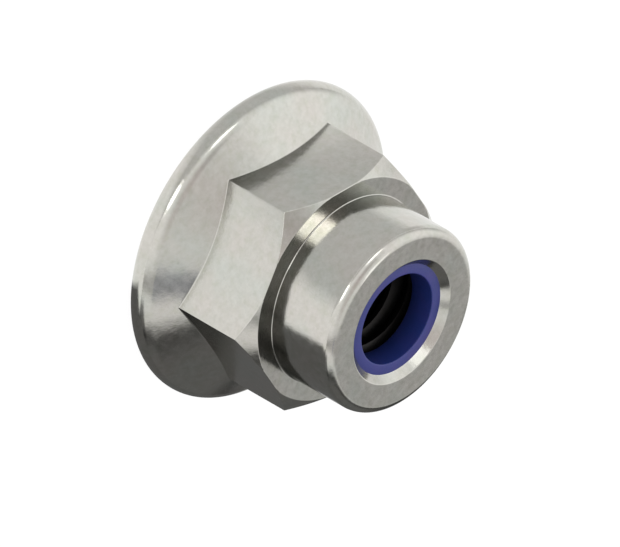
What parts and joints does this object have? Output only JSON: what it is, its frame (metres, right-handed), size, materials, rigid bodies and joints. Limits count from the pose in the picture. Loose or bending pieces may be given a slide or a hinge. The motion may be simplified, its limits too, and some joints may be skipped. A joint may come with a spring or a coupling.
{
  "type": "serrated flange lock nut",
  "caption": "Hexagon nut with a conical flange, a serrated bearing face and a blue locking ring rolled into its collar.",
  "frame": {"origin": "centre of the bearing face, on the thread axis", "axes": "+Z along the thread axis from the bearing face to the collar, +X through a corner of the hexagon"},
  "size_m": [0.0142, 0.0142, 0.0091],
  "materials": {
    "steel": "bright and slightly mottled, as cold-formed and tumbled",
    "polyamide": "smooth blue polyamide"
  },
  "bodies": {
    "root": {"nut_body": "steel", "locking_ring": "polyamide"}
  },
  "joints": []
}
